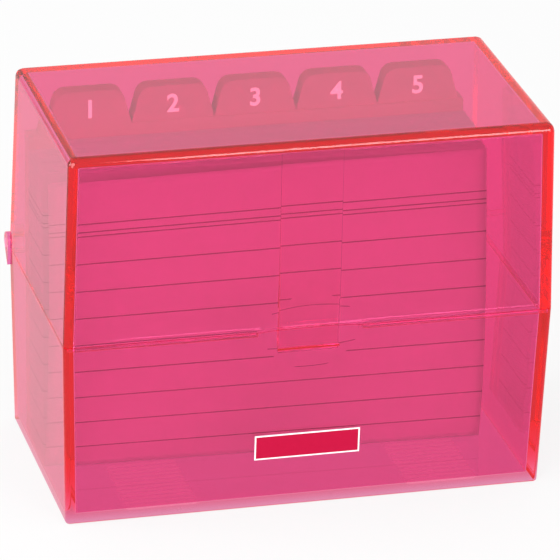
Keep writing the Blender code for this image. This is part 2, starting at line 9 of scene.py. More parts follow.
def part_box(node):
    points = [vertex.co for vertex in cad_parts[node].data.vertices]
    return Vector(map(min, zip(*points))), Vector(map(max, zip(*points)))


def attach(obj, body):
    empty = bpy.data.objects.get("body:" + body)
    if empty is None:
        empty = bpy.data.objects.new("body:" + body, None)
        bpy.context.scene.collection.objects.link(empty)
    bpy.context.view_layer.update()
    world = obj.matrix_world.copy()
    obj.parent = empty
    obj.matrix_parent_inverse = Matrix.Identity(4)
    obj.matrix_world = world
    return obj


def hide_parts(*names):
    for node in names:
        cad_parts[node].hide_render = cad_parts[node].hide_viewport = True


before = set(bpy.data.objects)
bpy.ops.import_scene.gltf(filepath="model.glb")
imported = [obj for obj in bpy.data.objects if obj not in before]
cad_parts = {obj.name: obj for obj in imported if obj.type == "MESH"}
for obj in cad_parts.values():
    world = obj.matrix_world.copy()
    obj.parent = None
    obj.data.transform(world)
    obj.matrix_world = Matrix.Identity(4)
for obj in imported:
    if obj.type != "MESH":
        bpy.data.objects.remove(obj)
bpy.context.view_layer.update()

MM = 0.001
PIECE_COLLECTION = bpy.context.scene.collection

# Walls and edges, as in the solids; the gap at the parting is finer than there
HALF_WIDTH = 59.02 * MM
HALF_DEPTH = 31.288 * MM
WALL = 2.6 * MM
FLOOR = 2.0 * MM
TOP_PLATE = 2.8 * MM
BOX_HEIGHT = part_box("lid")[1].z
PARTING_HEIGHT = 45.9 * MM
PARTING_GAP = 0.12 * MM
TRAY_DRAFT = 1.135 * MM
LID_DRAFT = 1.075 * MM
LID_EDGE_RADIUS = 1.9 * MM
TRAY_EDGE_RADIUS = 0.7 * MM
CORNER_RADIUS = 1.3 * MM
INNER_RADIUS = 0.4 * MM
EDGE_SEGMENTS = 16

# Nested rim; the lip's gap is finer than in the solids
RIM_SKIN = 1.05 * MM
LIP_GAP = 0.1 * MM
LIP_DEPTH = 1.1 * MM

# Hinge eyes, knuckles and pins
BARREL_RADIUS = 2.35 * MM
HINGE_BACKSET = 0.9 * MM
HINGE_RISE = 0.55 * MM
EYE_WIDTH = 3.05 * MM
EYE_PROUD = 0.5 * MM
KNUCKLE_WIDTH = 2.9 * MM
HINGE_SIDE_GAP = 0.3 * MM
BARREL_CLEARANCE = 0.2 * MM
BARREL_ROOT = 5.6 * MM
BARREL_ROOT_DEPTH = 0.5 * MM
PIN_RADIUS = 1.1 * MM
PIN_CLEARANCE = 0.1 * MM
PIN_REACH = 2.0 * MM
BARREL_SEGMENTS = 72

# Catch tongue with its bead, and the rib above it, thinner than in the solids
TONGUE_WIDTH = 14.8 * MM
TONGUE_THICKNESS = 1.05 * MM
TONGUE_REACH = 6.75 * MM
TONGUE_GAP = 0.15 * MM
TONGUE_STEPS = 12
BEAD_SETBACK = 1.1 * MM
BEAD_HALF_HEIGHT = 0.5 * MM
BEAD_REACH = 0.2 * MM
BEAD_CLEARANCE = 0.2 * MM
RIB_FOOT = 47.5 * MM
RIB_WAIST = 60.0 * MM
RIB_PROUD_AT_WAIST = 0.5 * MM
RIB_PROUD_AT_TOP = 0.15 * MM

# Thumb dish, shallower and steeper at its rim than in the solids
DISH_RADIUS = 11.5 * MM
DISH_DEPTH = 0.85 * MM
DISH_POWER = 3.3
DISH_STEP = 0.08 * MM
DISH_DROP = 0.75 * MM
DISH_MARGIN = 1.2 * MM
DISH_RINGS = 24
DISH_SEGMENTS = 120
DISH_MERGE = 0.001 * MM

# Floor grooves
ZONE_WIDTH = 17.0 * MM
ZONE_MIDDLE = 34.3 * MM
GROOVE_PITCH = 2.0 * MM
GROOVE_WIDTH = 1.2 * MM
GROOVE_DEPTH = 0.6 * MM
FIRST_GROOVE_Y = -26.402 * MM
GROOVE_COUNT = 27

# Cards
CARD_WIDTH = 105.0 * MM
CARD_HEIGHT = 74.0 * MM
CARD_THICKNESS = 0.13 * MM
CARDS_PER_GROUP = 12
CARD_GROUPS = 8
BUNDLES_PER_GROUP = 3
CARD_PITCH_LEFT = 0.1604 * MM
CARD_PITCH_RIGHT = 0.1936 * MM
CARD_SLIP = 0.25 * MM
CARD_LIFT_SHARE = 0.3
DICE_SEED = 7
SHEET_LEAN = math.radians(3.0)
SHEET_FOOT = 2.2 * MM
SHEET_LEFT = -55.0 * MM
REGISTER_FRONT = 13.198 * MM
FRONT_CARD_THICKNESS = 0.14 * MM
FRONT_CARD_GAP = 0.1 * MM
FRONT_LEAN_RIGHT = math.radians(2.93)
FRONT_LEAN_LEFT = math.radians(-1.66)
FRONT_BOW = 2.67 * MM
FRONT_BOW_LOW = 1.06 * MM
FRONT_COLUMNS = 36
FRONT_ROWS = 48

# Numerals on the dividers' tabs
DIVIDER_HEIGHT = 77.0 * MM
DIVIDER_PITCH = 0.2 * MM
DIVIDER_ROWS = 5
TABS_PER_ROW = 5
TAB_MARGIN = 2.5 * MM
TAB_PITCH = 20.26 * MM
TAB_HEIGHT = 8.6 * MM
NUMERAL_HEIGHT = 4.5 * MM
NUMERAL_LIFT = 0.012 * MM
NUMERAL_BOLD = 0.15 * MM
FONT_DIGIT_SHARE = 0.73

# Ruled lines, as heights above a card's foot
RULE_WIDTH = 0.28 * MM
RULE_LOWEST = 5.55 * MM
RULE_PITCH = 6.88 * MM
RULE_COUNT = 8
HEAD_RULES = (60.60 * MM, 61.64 * MM, 63.63 * MM)

# Bare label
LABEL_WIDTH = 25.6 * MM
LABEL_HEIGHT = 6.3 * MM
LABEL_BOTTOM = 12.74 * MM
LABEL_BORDER = 0.35 * MM

# Tinted plastic: absorption per metre of path for red, green and blue
ABSORPTION = (1.5, 85.0, 60.0)
PLASTIC_TINT = (1.0, 0.26, 0.585, 1.0)
TONGUE_TINT = (1.0, 0.75, 0.90, 1.0)
PLASTIC_IOR = 1.56

# Surfaces: noise as scale and detail, bumps as strength and distance
HAZE = (160.0, 4.0)
HAZE_RISE = 0.02
HAZE_LEAST = 0.01
RIPPLE = (45.0, 1.0)
RIPPLE_BUMP = (0.03, 0.4 * MM)
FIBRE = (2600.0, 3.0)
CLOUD = (260.0, 2.0)
FIBRE_SHARE = 0.6
CLOUD_SHARE = 0.4
FIBRE_BUMP = (0.15, 0.02 * MM)
CARD_ROUGHNESS = 0.8
CARD_SPECULAR = 0.25
CARD_LEVELS = (0.85, 0.93)
CARD_TINT = (1.0, 0.99, 0.97)
RULE_INK = (0.38, 0.12, 0.24, 1.0)
BOARD_ROUGHNESS = 0.55
BOARD_LEVELS = (0.9, 1.0)
BOARD_TINT = (1.0, 0.60, 0.66)
INK_ROUGHNESS = 0.6
INK_MOTTLE = (1800.0, 2.0)
INK_GREYS = (0.90, 0.96)
# Painted light: the tab ink's emission colour and strength, a painted glow on the numerals
INK_PAINTED_GLOW = (0.5, 0.8, 0.5, 1.0)
INK_PAINTED_GLOW_STRENGTH = 1.3
FILM_ROUGHNESS = 0.5
FILM_SPECULAR = 0.1
FILM_MOTTLE = (900.0, 2.0)
FILM_REDS = ((0.44, 0.002, 0.038, 1.0), (0.48, 0.004, 0.044, 1.0))
BORDER_GREY = 0.9

# Floor
FLOOR_RADIUS = 3.0
FLOOR_SIDES = 64
FLOOR_ROUGHNESS = 0.9
FLOOR_MOTTLE = (6.0, 1.0)
FLOOR_GREY = (0.79, 0.81)

# Studio: the sky's level, and the share and colour of the plain light that each kind of ray sees.
# The pink cast of what mirrors in the walls was chosen.
SKY_LEVEL = 0.82
MIRRORED_SKY = (1.0, (1.0, 0.83, 0.83, 1.0))
MIRRORED_FLOOR = (0.9, (1.0, 0.67, 0.67, 1.0))
CLEAR_FLOOR = (0.6, (0.8, 0.8, 0.8, 1.0))
CAMERA_FLOOR = (0.8, (1.0, 1.0, 1.0, 1.0))
LAMP_PLACE = (-0.6, -1.0, 0.75)
LAMP_AIM = (0, 0, 0.04)
LAMP_SIZE = (0.9, 0.7)
LAMP_POWER = 8.2
SIDE_PLACE = (-1.0, 0.1, 0.45)
SIDE_AIM = (0, 0, 0.05)
SIDE_SIZE = (0.6, 0.5)
SIDE_POWER = 5.2
EDGE_PLACE = (0.45, -1.1, 0.32)
EDGE_AIM = (0, 0, 0.09)
EDGE_SIZE = (0.5, 0.45)
EDGE_POWER = 5.2
BOUNCES = 64
DIFFUSE_BOUNCES = 6

# Camera, fitted to the box's twelve outer edges
CAMERA_PLACE = (-0.28060, -1.03697, 0.51411)
CAMERA_AZIMUTH = math.radians(-15.174)
CAMERA_ELEVATION = math.radians(23.595)
CAMERA_ROLL = math.radians(1.537)
CAMERA_LENS = 315.14
CAMERA_SENSOR = 36.0
CAMERA_NEAR = 0.01
CAMERA_FAR = 50.0

# How far a cutter runs past what it cuts, the crease that stays sharp, and how much large faces count
OVERRUN = 1.0 * MM
CREASE = math.radians(8.0)
NORMAL_WEIGHT = 100

# Hinge axis, the rim's heights and the places along the hinge
AXIS_Y = HALF_DEPTH + HINGE_BACKSET
AXIS_Z = PARTING_HEIGHT + HINGE_RISE
RIM_TOP = PARTING_HEIGHT - PARTING_GAP / 2
LID_FOOT = PARTING_HEIGHT + PARTING_GAP / 2
LIP_FOOT = RIM_TOP - LIP_DEPTH
REBATE_FLOOR = LIP_FOOT - LIP_GAP
EYE_OUTER = HALF_WIDTH + EYE_PROUD
EYE_INNER = EYE_OUTER - EYE_WIDTH
KNUCKLE_OUTER = EYE_INNER - HINGE_SIDE_GAP
KNUCKLE_INNER = KNUCKLE_OUTER - KNUCKLE_WIDTH
EYE_SPLIT = EYE_INNER - HINGE_SIDE_GAP / 2


class Nodes:
    """Builds a material's node tree in few words."""

    def __init__(self, name):
        self.material = bpy.data.materials.new(name)
        self.material.use_nodes = True
        self.tree = self.material.node_tree
        self.shader = self.tree.nodes["Principled BSDF"]
        self.output = self.tree.nodes["Material Output"]

    def add(self, kind, **settings):
        node = self.tree.nodes.new(kind)
        for key, value in settings.items():
            setattr(node, key, value)
        return node

    def link(self, source, target):
        self.tree.links.new(source, target)

    def math(self, operation, first, second=None, third=None):
        node = self.add("ShaderNodeMath", operation=operation)
        for socket, value in zip(node.inputs, (first, second, third)):
            if isinstance(value, bpy.types.NodeSocket):
                self.link(value, socket)
            elif value is not None:
                socket.default_value = value
        return node.outputs[0]

    def mix(self, factor, first, second):
        """A mix of two colours."""
        node = self.add("ShaderNodeMix", data_type="RGBA")
        sockets = [s for s in node.inputs if s.enabled]
        for socket, value in zip(sockets, (factor, first, second)):
            if isinstance(value, bpy.types.NodeSocket):
                self.link(value, socket)
            else:
                socket.default_value = value
        return [s for s in node.outputs if s.enabled][0]

    def noise(self, vector, scale, detail):
        node = self.add("ShaderNodeTexNoise")
        node.inputs["Scale"].default_value = scale
        node.inputs["Detail"].default_value = detail
        self.link(vector, node.inputs["Vector"])
        return node.outputs["Fac"]

    def bump(self, height, strength, distance):
        node = self.add("ShaderNodeBump")
        node.inputs["Strength"].default_value = strength
        node.inputs["Distance"].default_value = distance
        self.link(height, node.inputs["Height"])
        self.link(node.outputs["Normal"], self.shader.inputs["Normal"])

    def place(self):
        return self.add("ShaderNodeTexCoord").outputs["Object"]


def grey(level):
    return (level, level, level, 1.0)


def make_plastic(name, with_tongue=False):
    """Clear polished plastic, tinted at its skin and in its depth; the lid's thin tongue is tinted less."""
    n = Nodes(name)
    n.shader.inputs["Base Color"].default_value = PLASTIC_TINT
    n.shader.inputs["Transmission Weight"].default_value = 1.0
    n.shader.inputs["IOR"].default_value = PLASTIC_IOR
    place = n.place()
    if with_tongue:
        parts = n.add("ShaderNodeSeparateXYZ")
        n.link(place, parts.inputs["Vector"])
        low = n.math("LESS_THAN", parts.outputs["Z"], LID_FOOT - PARTING_GAP / 2)
        n.link(n.mix(low, PLASTIC_TINT, TONGUE_TINT), n.shader.inputs["Base Color"])
    haze = n.noise(place, *HAZE)
    n.link(n.math("MULTIPLY_ADD", haze, HAZE_RISE, HAZE_LEAST), n.shader.inputs["Roughness"])
    n.bump(n.noise(place, *RIPPLE), *RIPPLE_BUMP)
    density = max(ABSORPTION)
    volume = n.add("ShaderNodeVolumeAbsorption")
    volume.inputs["Density"].default_value = density
    volume.inputs["Color"].default_value = [1 - value / density for value in ABSORPTION] + [1.0]
    n.link(volume.outputs["Volume"], n.output.inputs["Volume"])
    return n.material


def paper_grain(n, place, low, high):
    """A fibre mottle as a factor between two levels of brightness."""
    fine = n.noise(place, *FIBRE)
    coarse = n.noise(place, *CLOUD)
    both = n.math("ADD", n.math("MULTIPLY", fine, FIBRE_SHARE), n.math("MULTIPLY", coarse, CLOUD_SHARE))
    n.bump(fine, *FIBRE_BUMP)
    return n.math("MULTIPLY_ADD", both, high - low, low)


def make_card_paper():
    """Uncoated white card with fine ruled lines."""
    n = Nodes("card_paper")
    n.shader.inputs["Roughness"].default_value = CARD_ROUGHNESS
    n.shader.inputs["Specular IOR Level"].default_value = CARD_SPECULAR
    place = n.place()
    grain = paper_grain(n, place, *CARD_LEVELS)
    sheet = n.add("ShaderNodeUVMap", uv_map="sheet")
    parts = n.add("ShaderNodeSeparateXYZ")
    n.link(sheet.outputs["UV"], parts.inputs["Vector"])
    height = parts.outputs["Y"]
    step = n.math("DIVIDE", n.math("SUBTRACT", height, RULE_LOWEST), RULE_PITCH)
    nearest = n.math("MINIMUM", n.math("MAXIMUM", n.math("ROUND", step), 0.0), float(RULE_COUNT - 1))
    away = n.math("MULTIPLY", n.math("ABSOLUTE", n.math("SUBTRACT", step, nearest)), RULE_PITCH)
    for head in HEAD_RULES:
        away = n.math("MINIMUM", away, n.math("ABSOLUTE", n.math("SUBTRACT", height, head)))
    ink = n.math("LESS_THAN", away, RULE_WIDTH / 2)
    paper = n.add("ShaderNodeCombineColor")
    for channel, share in zip(paper.inputs, CARD_TINT):
        n.link(n.math("MULTIPLY", grain, share), channel)
    n.link(n.mix(ink, paper.outputs[0], RULE_INK), n.shader.inputs["Base Color"])
    return n.material


def make_board():
    """Smooth coated divider board."""
    n = Nodes("divider_board")
    n.shader.inputs["Roughness"].default_value = BOARD_ROUGHNESS
    grain = paper_grain(n, n.place(), *BOARD_LEVELS)
    board = n.add("ShaderNodeCombineColor")
    for channel, share in zip(board.inputs, BOARD_TINT):
        n.link(n.math("MULTIPLY", grain, share), channel)
    n.link(board.outputs[0], n.shader.inputs["Base Color"])
    return n.material


def make_ink():
    """White ink with painted light: an emission that brightens the numerals so that they read through the
    lid.
    """
    n = Nodes("tab_ink_with_painted_glow")
    n.shader.inputs["Roughness"].default_value = INK_ROUGHNESS
    spread = n.noise(n.place(), *INK_MOTTLE)
    n.link(n.mix(spread, grey(INK_GREYS[0]), grey(INK_GREYS[1])), n.shader.inputs["Base Color"])
    # Painted light: the ink glows so that the numerals read brighter through the lid
    n.shader.inputs["Emission Color"].default_value = INK_PAINTED_GLOW
    n.shader.inputs["Emission Strength"].default_value = INK_PAINTED_GLOW_STRENGTH
    return n.material


def make_label_film():
    """Red printed film with a thin white border."""
    n = Nodes("label_film")
    n.shader.inputs["Roughness"].default_value = FILM_ROUGHNESS
    n.shader.inputs["Specular IOR Level"].default_value = FILM_SPECULAR
    place = n.place()
    parts = n.add("ShaderNodeSeparateXYZ")
    n.link(place, parts.inputs["Vector"])
    side = n.math("SUBTRACT", LABEL_WIDTH / 2, n.math("ABSOLUTE", parts.outputs["X"]))
    middle = LABEL_BOTTOM + LABEL_HEIGHT / 2
    away = n.math("ABSOLUTE", n.math("SUBTRACT", parts.outputs["Z"], middle))
    level = n.math("SUBTRACT", LABEL_HEIGHT / 2, away)
    border = n.math("LESS_THAN", n.math("MINIMUM", side, level), LABEL_BORDER)
    red = n.mix(n.noise(place, *FILM_MOTTLE), *FILM_REDS)
    n.link(n.mix(border, red, grey(BORDER_GREY)), n.shader.inputs["Base Color"])
    return n.material


def add_mesh(name, bm, smooth=True):
    bmesh.ops.recalc_face_normals(bm, faces=bm.faces)
    mesh = bpy.data.meshes.new(name)
    bm.to_mesh(mesh)
    bm.free()
    if smooth:
        mesh.shade_smooth()
    piece = bpy.data.objects.new(name, mesh)
    PIECE_COLLECTION.objects.link(piece)
    return piece


def dress(piece, body, slot, *materials, replaces=()):
    """Gives a piece its body and its materials, and hides the nodes that it stands for; the slot is not
    used.
    """
    for material in materials:
        piece.data.materials.append(material)
    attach(piece, body)
    if replaces:
        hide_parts(*replaces)


def combine(part, tool, operation):
    modifier = part.modifiers.new(tool.name, "BOOLEAN")
    modifier.object = tool
    modifier.operation = operation
    modifier.solver = "EXACT"


def finish_shell(part, tools):
    """Applies the modifiers, drops the tools, and lets the large flat faces set the normals."""
    bpy.context.view_layer.update()
    mesh = bpy.data.meshes.new_from_object(part.evaluated_get(bpy.context.evaluated_depsgraph_get()))
    part.modifiers.clear()
    part.data = mesh
    for tool in tools:
        bpy.data.objects.remove(tool)
    mesh.shade_smooth()
    mesh.set_sharp_from_angle(angle=CREASE)
    weighted = part.modifiers.new("weighted_normals", "WEIGHTED_NORMAL")
    weighted.keep_sharp = True
    weighted.weight = NORMAL_WEIGHT


def add_cross_prism(bm, outline, x_low, x_high):
    """An outline given in (y, z), swept along X."""
    face = bm.faces.new([bm.verts.new((x_low, y, z)) for y, z in outline])
    swept = bmesh.ops.extrude_face_region(bm, geom=[face])
    moved = [item for item in swept["geom"] if isinstance(item, bmesh.types.BMVert)]
    bmesh.ops.translate(bm, vec=(x_high - x_low, 0, 0), verts=moved)


def add_box(bm, low, high):
    outline = [(low[1], low[2]), (high[1], low[2]), (high[1], high[2]), (low[1], high[2])]
    add_cross_prism(bm, outline, low[0], high[0])


def add_rod(bm, radius, x_low, x_high):
    centre = Vector(((x_low + x_high) / 2, AXIS_Y, AXIS_Z))
    placement = Matrix.Translation(centre) @ Matrix.Rotation(math.pi / 2, 4, "Y")
    bmesh.ops.create_cone(
        bm, cap_ends=True, segments=BARREL_SEGMENTS, radius1=radius, radius2=radius,
        depth=abs(x_high - x_low), matrix=placement)


def tray_inset(z):
    return TRAY_DRAFT * (PARTING_HEIGHT - z) / PARTING_HEIGHT


def lid_inset(z):
    return LID_DRAFT * (z - PARTING_HEIGHT) / (BOX_HEIGHT - PARTING_HEIGHT)


def drafted_block(name, z_low, z_high, low_inset, high_inset, closed_end, end_radius, side_radius):
    """A tapered block with rounded upright edges and a rounded closed end."""
    bm = bmesh.new()
    bmesh.ops.create_cube(bm, size=2.0)
    weights = bm.edges.layers.float.new("bevel_weight_edge")
    widest = max(end_radius, side_radius)
    for edge in bm.edges:
        heights = [vert.co.z for vert in edge.verts]
        if heights[0] * heights[1] < 0:
            edge[weights] = side_radius / widest
        elif heights[0] * closed_end > 0:
            edge[weights] = end_radius / widest
    for vert in bm.verts:
        upper = vert.co.z > 0
        inset = high_inset if upper else low_inset
        vert.co.x *= HALF_WIDTH - inset
        vert.co.y *= HALF_DEPTH - inset
        vert.co.z = z_high if upper else z_low
    block = add_mesh(name, bm)
    bevel = block.modifiers.new("rounded_edges", "BEVEL")
    bevel.limit_method = "WEIGHT"
    bevel.width = widest
    bevel.segments = EDGE_SEGMENTS
    return block


def rim_block(bm, inset, z_low, z_high):
    x = HALF_WIDTH - inset
    y = HALF_DEPTH - inset
    add_box(bm, (-x, -y, z_low), (x, y, z_high))


def front_stretch(bm, half_width, z_low, z_high):
    y_low = -HALF_DEPTH - OVERRUN
    y_high = -HALF_DEPTH + WALL + OVERRUN
    add_box(bm, (-half_width, y_low, z_low), (half_width, y_high, z_high))


def dish_cutter(name, draft_angle):
    """A shallow round hollow, flat in the middle and steeper at its rim, square to a drafted front face."""
    profile = [(0, OVERRUN), (DISH_RADIUS, OVERRUN)]
    for ring in range(DISH_RINGS + 1):
        share = 1 - ring / DISH_RINGS
        hollow = (DISH_DEPTH - DISH_STEP) * (1 - share ** DISH_POWER)
        profile.append((DISH_RADIUS * share, -DISH_STEP - hollow))
    bm = bmesh.new()
    points = [bm.verts.new((radius, 0, height)) for radius, height in profile]
    for start, end in zip(points, points[1:]):
        bm.edges.new((start, end))
    mesh = bpy.data.meshes.new(name)
    bm.to_mesh(mesh)
    bm.free()
    cutter = bpy.data.objects.new(name, mesh)
    PIECE_COLLECTION.objects.link(cutter)
    turn = cutter.modifiers.new("turned", "SCREW")
    turn.steps = DISH_SEGMENTS
    turn.render_steps = DISH_SEGMENTS
    turn.use_merge_vertices = True
    turn.merge_threshold = DISH_MERGE
    turn.use_normal_calculate = True
    inset = math.tan(abs(draft_angle)) * DISH_DROP
    cutter.location = (0, inset - HALF_DEPTH, PARTING_HEIGHT - DISH_DROP)
    cutter.rotation_euler = (math.pi / 2 + draft_angle, 0, 0)
    return cutter


def barrel_outline(root_direction):
    """A round barrel that runs out to a root on the back wall, up or down, in (y, z)."""
    root_y = HALF_DEPTH - BARREL_ROOT_DEPTH - AXIS_Y
    root_z = root_direction * BARREL_ROOT
    reach = math.hypot(root_y, root_z)
    toward = math.atan2(root_z, root_y)
    spread = math.acos(BARREL_RADIUS / reach)
    outline = [(AXIS_Y + root_y, AXIS_Z + root_z)]
    sweep = 2 * (math.pi - spread)
    for step in range(BARREL_SEGMENTS + 1):
        angle = toward + spread + sweep * step / BARREL_SEGMENTS
        outline.append((AXIS_Y + BARREL_RADIUS * math.cos(angle), AXIS_Z + BARREL_RADIUS * math.sin(angle)))
    return outline


def tongue_face(z):
    sweep = AXIS_Y + HALF_DEPTH - WALL - TONGUE_GAP
    return AXIS_Y - math.sqrt(sweep ** 2 - (AXIS_Z - z) ** 2)


def inner_front(z):
    return WALL + tray_inset(z) - HALF_DEPTH


TONGUE_FOOT = PARTING_HEIGHT - TONGUE_REACH
TONGUE_BACK = tongue_face(TONGUE_FOOT) + TONGUE_THICKNESS
BEAD_Z = TONGUE_FOOT + BEAD_SETBACK
BEAD_TIP = inner_front(BEAD_Z) - BEAD_REACH


def lid_front(z):
    return WALL + lid_inset(z) - HALF_DEPTH


def tongue_outline():
    """The tongue up to its root, and above it the rib that fades into the lid's front."""
    lowest = [(TONGUE_BACK, TONGUE_FOOT)]
    arc = []
    for step in range(TONGUE_STEPS + 1):
        z = TONGUE_FOOT + (RIM_TOP - TONGUE_FOOT) * step / TONGUE_STEPS
        arc.append((tongue_face(z), z))
    buried = -HALF_DEPTH + WALL / 2
    top = BOX_HEIGHT - TOP_PLATE / 2
    joined = [(tongue_face(RIM_TOP), LID_FOOT + PARTING_GAP), (buried, LID_FOOT + PARTING_GAP + WALL / 2)]
    upper = [(buried + lid_inset(top), top), (lid_front(top) + RIB_PROUD_AT_TOP, top)]
    rib = [(lid_front(RIB_WAIST) + RIB_PROUD_AT_WAIST, RIB_WAIST), (TONGUE_BACK, RIB_FOOT)]
    return lowest + arc + joined + upper + rib


def bead_outline(clearance):
    half = BEAD_HALF_HEIGHT + clearance
    inside = tongue_face(BEAD_Z) + TONGUE_THICKNESS / 2
    return [(inside, BEAD_Z - half), (inside, BEAD_Z + half), (BEAD_TIP - clearance, BEAD_Z)]


def groove_outline(y):
    shoulder = (GROOVE_PITCH + GROOVE_WIDTH) / 4
    valley = FLOOR - GROOVE_DEPTH
    turn = valley + shoulder
    above = FLOOR + OVERRUN
    front = y - shoulder
    back = y + shoulder
    return [(front, above), (front, turn), (y, valley), (back, turn), (back, above)]


def make_tray(plastic):
    tray = drafted_block(
        "tray_shell", 0, RIM_TOP, tray_inset(0), tray_inset(RIM_TOP), -1, TRAY_EDGE_RADIUS, CORNER_RADIUS)
    above = RIM_TOP + OVERRUN
    tools = []

    def cut(tool, operation="DIFFERENCE"):
        tools.append(tool)
        combine(tray, tool, operation)

    cut(drafted_block(
        "tray_cavity", FLOOR, above, tray_inset(FLOOR) + WALL, tray_inset(above) + WALL, -1,
        INNER_RADIUS, INNER_RADIUS))

    rebate = bmesh.new()
    rim_block(rebate, RIM_SKIN, REBATE_FLOOR, above)
    plain = bmesh.new()
    front_stretch(plain, DISH_RADIUS + DISH_MARGIN, REBATE_FLOOR - OVERRUN, above + OVERRUN)
    rebate_tool = add_mesh("rim_rebate", rebate, False)
    plain_tool = add_mesh("rim_plain_stretch", plain, False)
    combine(rebate_tool, plain_tool, "DIFFERENCE")
    cut(rebate_tool)

    eyes = bmesh.new()
    bores = bmesh.new()
    notches = bmesh.new()
    for side in (-1, 1):
        add_cross_prism(eyes, barrel_outline(-1), side * EYE_INNER, side * EYE_OUTER)
        add_rod(bores, PIN_RADIUS + PIN_CLEARANCE, side * (EYE_INNER - OVERRUN),
                side * (KNUCKLE_OUTER + PIN_REACH + 2 * HINGE_SIDE_GAP))
        add_rod(notches, BARREL_RADIUS + BARREL_CLEARANCE,
                side * (KNUCKLE_INNER - HINGE_SIDE_GAP), side * EYE_SPLIT)
    cut(add_mesh("hinge_eyes", eyes), "UNION")
    cut(add_mesh("knuckle_notches", notches))
    cut(add_mesh("eye_bores", bores))

    cut(dish_cutter("tray_dish", -math.atan(TRAY_DRAFT / PARTING_HEIGHT)))
    groove = bmesh.new()
    half = TONGUE_WIDTH / 2 + BEAD_CLEARANCE
    add_cross_prism(groove, bead_outline(BEAD_CLEARANCE), -half, half)
    cut(add_mesh("bead_groove", groove, False))
    grooves = bmesh.new()
    for side in (-1, 1):
        x_low = side * ZONE_MIDDLE - ZONE_WIDTH / 2
        for index in range(GROOVE_COUNT):
            outline = groove_outline(FIRST_GROOVE_Y + index * GROOVE_PITCH)
            add_cross_prism(grooves, outline, x_low, x_low + ZONE_WIDTH)
    cut(add_mesh("floor_grooves", grooves, False))
    finish_shell(tray, tools + [plain_tool])
    dress(tray, "base", "tinted_plastic", plastic, replaces=["base_tray"])


def make_lid(plastic):
    lid = drafted_block(
        "lid_shell", LID_FOOT, BOX_HEIGHT, lid_inset(LID_FOOT), lid_inset(BOX_HEIGHT), 1,
        LID_EDGE_RADIUS, CORNER_RADIUS)
    tools = []

    def cut(tool, operation="DIFFERENCE"):
        tools.append(tool)
        combine(lid, tool, operation)

    lip = bmesh.new()
    rim_block(lip, RIM_SKIN + LIP_GAP, LIP_FOOT, LID_FOOT + WALL)
    gap = bmesh.new()
    front_stretch(gap, DISH_RADIUS + DISH_MARGIN + LIP_GAP, LIP_FOOT - OVERRUN, LID_FOOT)
    lip_tool = add_mesh("lid_lip", lip, False)
    gap_tool = add_mesh("lip_opening", gap, False)
    combine(lip_tool, gap_tool, "DIFFERENCE")
    cut(lip_tool, "UNION")

    below = LIP_FOOT - OVERRUN
    ceiling = BOX_HEIGHT - TOP_PLATE
    cut(drafted_block(
        "lid_cavity", below, ceiling, lid_inset(below) + WALL, lid_inset(ceiling) + WALL, 1,
        INNER_RADIUS, INNER_RADIUS))

    tongue = bmesh.new()
    add_cross_prism(tongue, tongue_outline(), -TONGUE_WIDTH / 2, TONGUE_WIDTH / 2)
    cut(add_mesh("catch_tongue", tongue), "UNION")
    bead = bmesh.new()
    half = TONGUE_WIDTH / 2 - PIN_CLEARANCE
    add_cross_prism(bead, bead_outline(0), -half, half)
    cut(add_mesh("catch_bead", bead, False), "UNION")

    knuckles = bmesh.new()
    pins = bmesh.new()
    notches = bmesh.new()
    for side in (-1, 1):
        add_cross_prism(knuckles, barrel_outline(1), side * KNUCKLE_INNER, side * KNUCKLE_OUTER)
        add_rod(pins, PIN_RADIUS, side * (KNUCKLE_INNER + HINGE_SIDE_GAP), side * (EYE_INNER + PIN_REACH))
        add_rod(notches, BARREL_RADIUS + BARREL_CLEARANCE, side * EYE_SPLIT, side * (EYE_OUTER + OVERRUN))
    cut(add_mesh("eye_notches", notches))
    cut(add_mesh("hinge_knuckles", knuckles), "UNION")
    cut(add_mesh("hinge_pins", pins), "UNION")
    cut(dish_cutter("lid_dish", math.atan(LID_DRAFT / (BOX_HEIGHT - PARTING_HEIGHT))))
    finish_shell(lid, tools + [gap_tool])
    dress(lid, "lid", "tinted_plastic", plastic, replaces=["lid"])


def sheet_placement(y_left, y_right):
    """A sheet's own frame: x along its bottom front edge from the left end, z up its face."""
    heading = math.atan2(y_right - y_left, CARD_WIDTH)
    start = Matrix.Translation(Vector((SHEET_LEFT, y_left, SHEET_FOOT)))
    return start @ Matrix.Rotation(heading, 4, "Z") @ Matrix.Rotation(-SHEET_LEAN, 4, "X")


def card_front(index):
    behind = CARD_GROUPS * CARDS_PER_GROUP - index
    return REGISTER_FRONT - behind * CARD_PITCH_LEFT, REGISTER_FRONT - behind * CARD_PITCH_RIGHT


def write_sheet_map(mesh, points):
    """Stores each corner's place on its sheet, in metres, as the UV map "sheet"."""
    layer = mesh.uv_layers.new(name="sheet")
    for loop in mesh.loops:
        layer.data[loop.index].uv = points[loop.vertex_index]


def make_card_group(group, paper, dice):
    """Twelve loose cards, each slipped a hair from its neighbours."""
    bm = bmesh.new()
    points = []
    for place in range(CARDS_PER_GROUP):
        index = (group - 1) * CARDS_PER_GROUP + place
        placement = sheet_placement(*card_front(index))
        aside = dice.uniform(-1, 1) * CARD_SLIP
        lift = dice.uniform(-CARD_LIFT_SHARE, CARD_LIFT_SHARE) * CARD_SLIP
        slip = Vector((aside, 0, lift))
        made = bmesh.ops.create_cube(bm, size=1.0)
        for vert in made["verts"]:
            x = CARD_WIDTH * (vert.co.x + 0.5)
            z = CARD_HEIGHT * (vert.co.z + 0.5)
            y = CARD_THICKNESS * (vert.co.y + 0.5)
            points.append((x, z))
            vert.co = placement @ (Vector((x, y, z)) + slip)
    bm.verts.index_update()
    cards = add_mesh(f"cards_{group}", bm, False)
    write_sheet_map(cards.data, points)
    first = (group - 1) * BUNDLES_PER_GROUP + 1
    nodes = [f"card_bundle_{number:02d}" for number in range(first, first + BUNDLES_PER_GROUP)]
    dress(cards, f"card_group_{group}", "card_paper", paper, replaces=nodes)


